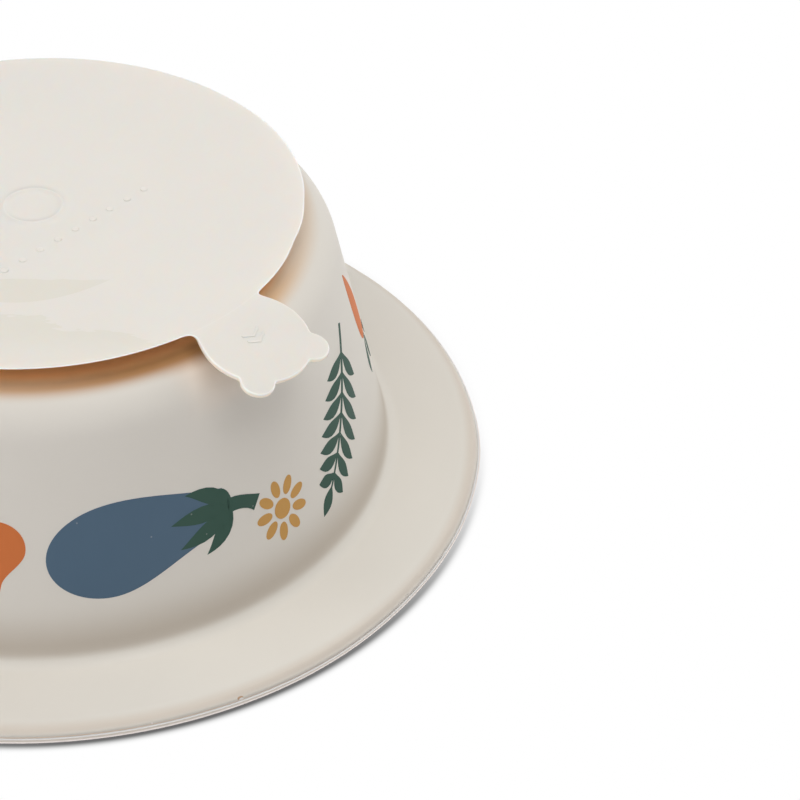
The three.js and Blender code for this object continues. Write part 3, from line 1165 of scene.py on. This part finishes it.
def carrot():
    """A rust-coloured carrot with green leaves."""
    def half(part):
        return 3.9 * math.sin(math.pi * min(max(part, 0), 1) ** 0.62) ** 0.7 * (1 - 0.35 * part)

    body = ribbon(lambda part: Vector((0.8 * part * part, 0.6 - 18.5 * part)), half, 30)
    tops = [blade((0.7 * lean, 0.6), (4.8 * lean, 8.6 - 1.6 * abs(lean)), 2.5, 0.6, -0.12 * lean)
            for lean in (-1, 0, 1)]
    return {"rust": [body], "green": tops}


def pear():
    """A rust-coloured pear with a green leaf."""
    def half(part):
        neck = 5.2 - 3.1 * smoothstep(part, 0.34, 0.8)
        if part < 0.34:
            return neck * math.sqrt(max(1 - ((part - 0.34) / 0.34) ** 2, 0))
        if part > 0.84:
            return neck * math.sqrt(max(1 - ((part - 0.84) / 0.16) ** 2, 0))
        return neck

    body = ribbon(lambda part: Vector((0, -7.5 + 15 * part)), half, 36)
    stalk = ribbon(lambda part: Vector((0.9 * part * part, 7.2 + 3.2 * part)), lambda part: 0.45, 4)
    return {"rust": [body], "green": [stalk, blade((0.4, 8.6), (6.4, 10.6), 3.0, 0.45, 0.1)]}


# Each picture's design, azimuth in degrees, height on the wall in millimetres, and turn in degrees.
# The set of five is repeated round the bowl.
REPEATS = 3
PICTURES = [
    (aubergine, -68, 24, 12),
    (daisy, -41, 18, 0),
    (fern, -20, 25, -26),
    (carrot, 5, 24, 16),
    (pear, 27, 22, -10),
]


def add_film(bm, outline, sizes, azimuth, height, turn):
    """Cuts one outline into narrow strips and wraps it on the wall, facing outwards."""
    spin = Matrix.Rotation(turn, 2)
    film = bmesh.new()
    corners = [film.verts.new((*(spin @ point * MM), 0)) for point in outline]
    film.faces.new(corners)
    bmesh.ops.triangulate(film, faces=film.faces[:])
    width = max(abs(vert.co.x) for vert in film.verts)
    strip = 1.5 * MM
    last = int(width / strip)
    cut_rows(film, [step * strip for step in range(-last, last + 1)], MERGE_GAP)
    for vert in film.verts:
        level = height - vert.co.y * math.cos(sizes.wall_draft)
        radius = wall_radius(sizes, level)
        around = azimuth - vert.co.x / radius
        vert.co = (radius * math.cos(around), radius * math.sin(around), level)
    take_in(bm, film)


class BOWL_OT_prints(bpy.types.Operator):
    """Print the pictures round the wall, one film for each ink"""
    bl_idname = "bowl.prints"
    bl_label = "Prints"

    def execute(self, context):
        sizes = context.scene.bowl_sizes
        inks = context.scene.bowl_inks
        films = {name: bmesh.new() for name in ("blue", "green", "mustard", "rust")}
        for repeat in range(REPEATS):
            for design, azimuth, height, turn in PICTURES:
                around = math.radians(azimuth) + FULL_TURN * repeat / REPEATS
                for name, outlines in design().items():
                    for outline in outlines:
                        add_film(films[name], outline, sizes, around, height * MM,
                                 math.radians(turn))
        for name, bm in films.items():
            proud = inks.thickness * (0.7 if name == "blue" else 1)
            self.finish_film(bm, sizes, proud)
            material = ink(f"{name.capitalize()} ink", getattr(inks, name), inks)
            film = to_object(bm, f"{name}_prints", material, smooth=False)
            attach(film, "bowl_body")
        return {"FINISHED"}

    def finish_film(self, bm, sizes, proud):
        """Gives the wrapped sheets their thickness, from inside the wall to just proud of it."""
        outside = Vector((math.cos(sizes.wall_draft), 0, math.sin(sizes.wall_draft)))
        for face in bm.faces:
            middle = face.calc_center_median()
            face.normal_update()
            if face.normal.dot(Vector((middle.x, middle.y, 0))) < 0:
                face.normal_flip()
        for vert in bm.verts:
            around = math.atan2(vert.co.y, vert.co.x)
            vert.co += Matrix.Rotation(around, 3, "Z") @ outside * proud
        bmesh.ops.solidify(bm, geom=bm.faces[:], thickness=3 * proud)


# The studio

class BOWL_OT_stage(bpy.types.Operator):
    """Make the floor, the light and the camera"""
    bl_idname = "bowl.stage"
    bl_label = "Stage"

    def execute(self, context):
        studio = context.scene.bowl_studio
        context.scene.view_settings.view_transform = "Standard"
        self.make_floor()
        self.make_sky(context.scene, studio)
        for name, power, place in (("overhead", studio.overhead, (0.08, -0.18, 0.92)),
                                   ("behind", studio.behind, (0.7, 0.42, 0.5)),
                                   ("front", studio.front, (-0.6, -0.5, 0.55))):
            lamp = self.make_lamp(name, power, Vector(place))
            # The lamp behind would mirror as plain white in the disc, seen from the front left
            lamp.visible_glossy = name != "behind"
        self.make_camera(context.scene, studio)
        return {"FINISHED"}

    def make_floor(self):
        """A pale floor that shows white, with the bowl's contact shadow painted in."""
        bm = bmesh.new()
        bmesh.ops.create_grid(bm, x_segments=8, y_segments=8, size=3)
        material = bpy.data.materials.new("Studio floor")
        material.use_nodes = True
        tree = Tree(material.node_tree)
        material.node_tree.nodes.remove(material.node_tree.nodes["Principled BSDF"])
        plain = tree.add("ShaderNodeBsdfDiffuse", Color=(0.95, 0.94, 0.95))
        shown_colour = tree.mix(self.painted_contact_shadow(tree), (1, 1, 1), (0.13, 0.13, 0.13))
        shown = tree.add("ShaderNodeEmission", Color=shown_colour, Strength=1.0)
        tree.choose(self.picture_rays(tree), plain.outputs[0], shown.outputs[0],
                    material.node_tree.nodes["Material Output"])
        to_object(bm, "studio_floor", material)

    def painted_contact_shadow(self, tree):
        """A painted shadow at the rim's foot, darkest in front, as a lamp behind would cast it."""
        place = tree.use(place_group())
        radius = place["Radius"]
        near = tree.math("POWER", tree.fall(radius, rim_radius + 0.45 * MM, rim_radius + 3.6 * MM), 4.0)
        darkest_azimuth = math.radians(-68)
        least, most = 0.03, 1.0
        _, towards = across_and_outwards(tree, place, darkest_azimuth)
        facing = tree.remap(tree.math("DIVIDE", towards, radius), 0.25, 1.06, least, most)
        return tree.times(near, facing)

    def picture_rays(self, tree):
        """1 for rays that make the picture or a reflection in it, 0 for rays that carry light."""
        path = tree.add("ShaderNodeLightPath").outputs
        seen = tree.math("MAXIMUM", path["Is Camera Ray"], path["Is Glossy Ray"])
        return tree.math("MAXIMUM", seen, path["Is Transmission Ray"])

    def make_sky(self, scene, studio):
        """Soft light from all round, and plain white behind the bowl."""
        world = bpy.data.worlds.new("Studio")
        scene.world = world
        world.use_nodes = True
        tree = Tree(world.node_tree)
        light = world.node_tree.nodes["Background"]
        tree.put(light, "Color", (0.96, 0.94, 1.0))
        towards = tree.add("ShaderNodeTexCoord").outputs["Generated"]
        x, _, z = tree.add("ShaderNodeSeparateXYZ", Vector=towards).outputs
        level = tree.remap(z, 0.0, 0.9, studio.horizon, studio.zenith)
        low = tree.remap(z, 0.0, 0.9, studio.left, 0.0)
        leftwards = tree.math("MAXIMUM", tree.times(x, -1.0), 0.0)
        tree.put(light, "Strength", tree.math("ADD", level, tree.times(low, leftwards)))
        white = tree.add("ShaderNodeBackground", Color=(1, 1, 1), Strength=1.0)
        tree.choose(self.picture_rays(tree), light.outputs[0], white.outputs[0],
                    world.node_tree.nodes["World Output"])

    def make_lamp(self, name, power, place):
        """A large square lamp that faces the bowl."""
        bowl_middle = Vector((0, 0, 0.03))
        lamp = bpy.data.lights.new(name, "AREA")
        lamp.energy = power
        lamp.size = 0.85
        made = bpy.data.objects.new(name, lamp)
        made.location = place
        made.rotation_euler = (place - bowl_middle).to_track_quat("Z", "Y").to_euler()
        made.visible_camera = False
        bpy.context.scene.collection.objects.link(made)
        return made

    def make_camera(self, scene, studio):
        """Puts the bowl's origin where the picture shows it."""
        picture_size = 800
        origin_across, origin_down = 49.8, 444.75
        sensor = 36.0
        camera = bpy.data.cameras.new("camera")
        camera.lens = studio.lens
        camera.sensor_width = sensor
        camera.clip_start, camera.clip_end = 0.01, 20
        back = Vector((0, -math.cos(studio.elevation), math.sin(studio.elevation)))
        level = Vector((1, 0, 0))
        rising = back.cross(level)
        right = level * math.cos(studio.roll) + rising * math.sin(studio.roll)
        up = rising * math.cos(studio.roll) - level * math.sin(studio.roll)
        pixel = sensor / studio.lens / picture_size * studio.distance
        across = (picture_size / 2 - origin_across) * pixel
        down = (origin_down - picture_size / 2) * pixel
        place = back * studio.distance + right * across + up * down
        turned = Matrix((right, up, back)).transposed().to_4x4()
        made = bpy.data.objects.new("camera", camera)
        made.matrix_world = Matrix.Translation(place) @ turned
        scene.collection.objects.link(made)
        scene.camera = made


STEPS = (BOWL_OT_stage, BOWL_OT_shell, BOWL_OT_neck, BOWL_OT_disc, BOWL_OT_marks, BOWL_OT_prints)
SETTINGS = {
    "bowl_sizes": BowlSizes,
    "disc_sizes": DiscSizes,
    "bowl_silicone": Silicone,
    "bowl_inks": Inks,
    "bowl_studio": Studio,
}


class VIEW3D_PT_suction_bowl(bpy.types.Panel):
    """Sizes, colours and steps of the suction bowl"""
    bl_label = "Suction bowl"
    bl_space_type = "VIEW_3D"
    bl_region_type = "UI"
    bl_category = "Suction bowl"

    def draw(self, context):
        for name, settings in SETTINGS.items():
            box = self.layout.box()
            for label in settings.__annotations__:
                box.prop(getattr(context.scene, name), label)
        for step in STEPS:
            self.layout.operator(step.bl_idname)


def register():
    for made in (*SETTINGS.values(), *STEPS, VIEW3D_PT_suction_bowl):
        bpy.utils.register_class(made)
    for name, settings in SETTINGS.items():
        setattr(bpy.types.Scene, name, PointerProperty(type=settings))


def unregister():
    for name in SETTINGS:
        delattr(bpy.types.Scene, name)
    for made in reversed((*SETTINGS.values(), *STEPS, VIEW3D_PT_suction_bowl)):
        bpy.utils.unregister_class(made)


def main():
    register()
    for step in STEPS:
        family, name = step.bl_idname.split(".")
        getattr(getattr(bpy.ops, family), name)()


if __name__ == "__main__":
    main()
